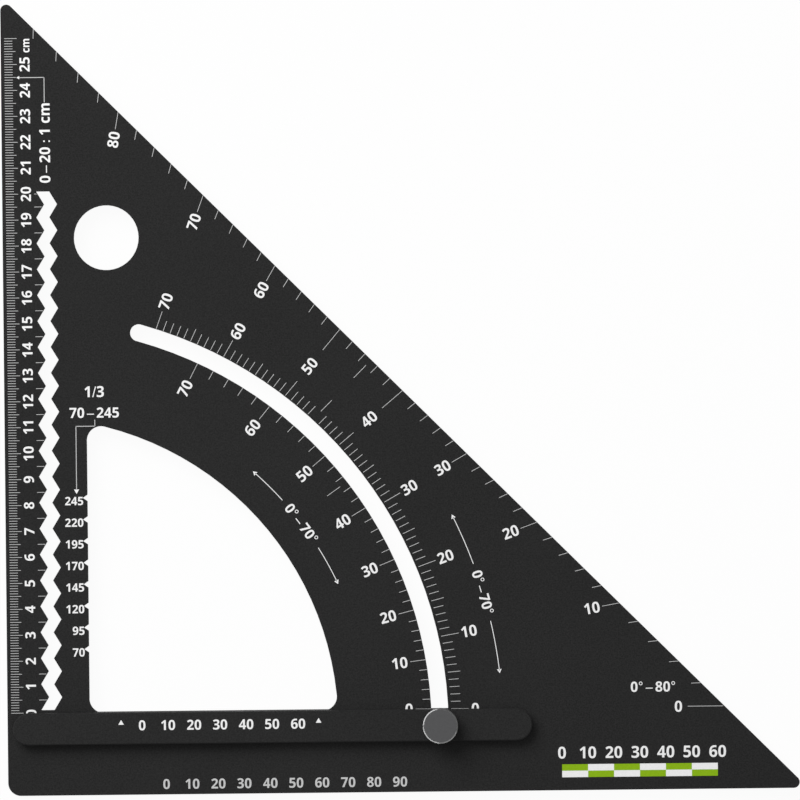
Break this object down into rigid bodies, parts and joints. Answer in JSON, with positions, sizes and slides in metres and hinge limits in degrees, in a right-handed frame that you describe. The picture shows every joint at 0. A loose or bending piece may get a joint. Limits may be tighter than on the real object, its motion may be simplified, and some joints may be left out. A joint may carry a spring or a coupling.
{
  "type": "rafter square",
  "caption": "Flat triangular rafter square with a ruler edge, zigzag scribing slot, notched window and a fence that swings in an arc slot and is locked by a knob.",
  "frame": {"origin": "centre of the plate's square outline, at the back face of the rear fence bar", "axes": "+X along the bottom edge away from the right-angle corner, +Y up the ruler edge, +Z out of the printed front face"},
  "size_m": [0.305, 0.305, 0.0203],
  "materials": {
    "blade_black": "black anodised plate with a fine satin grain and pale printed scales",
    "bar_black": "black anodised bar with a fine satin grain",
    "knob_grey": "grey anodised, turned face with a bright bevel",
    "steel": "turned steel",
    "acetal_white": "smooth white acetal"
  },
  "bodies": {
    "blade": {"blade": "blade_black"},
    "fence": {"front_fence_bar": "bar_black", "rear_fence_bar": "bar_black", "pivot_pin": "steel", "pivot_screw": "steel", "front_pivot_washer": "acetal_white", "rear_pivot_washer": "acetal_white", "clamp_stud": "steel"},
    "knob_washer": {"clamp_washer": "steel"},
    "knob": {"clamp_knob": "knob_grey"}
  },
  "joints": [
    {"name": "fence_swing", "type": "hinge", "parent": "blade", "child": "fence", "pos_m": [-0.1442, -0.12675, 0.00665], "axis": [0, 0, 1], "range_deg": [0, 74]},
    {"name": "knob_lift", "type": "slide", "parent": "fence", "child": "knob_washer", "axis": [0, 0, 1], "range_m": [0, 0.004]},
    {"name": "knob_turn", "type": "hinge", "parent": "knob_washer", "child": "knob", "pos_m": [0.0142, -0.12675, 0.0172], "axis": [0, 0, 1], "range_deg": [0, 1440]}
  ],
  "couplings": [
    {"joint": "knob_turn", "follows": "knob_lift", "rad_per_m": 6283.2}
  ]
}
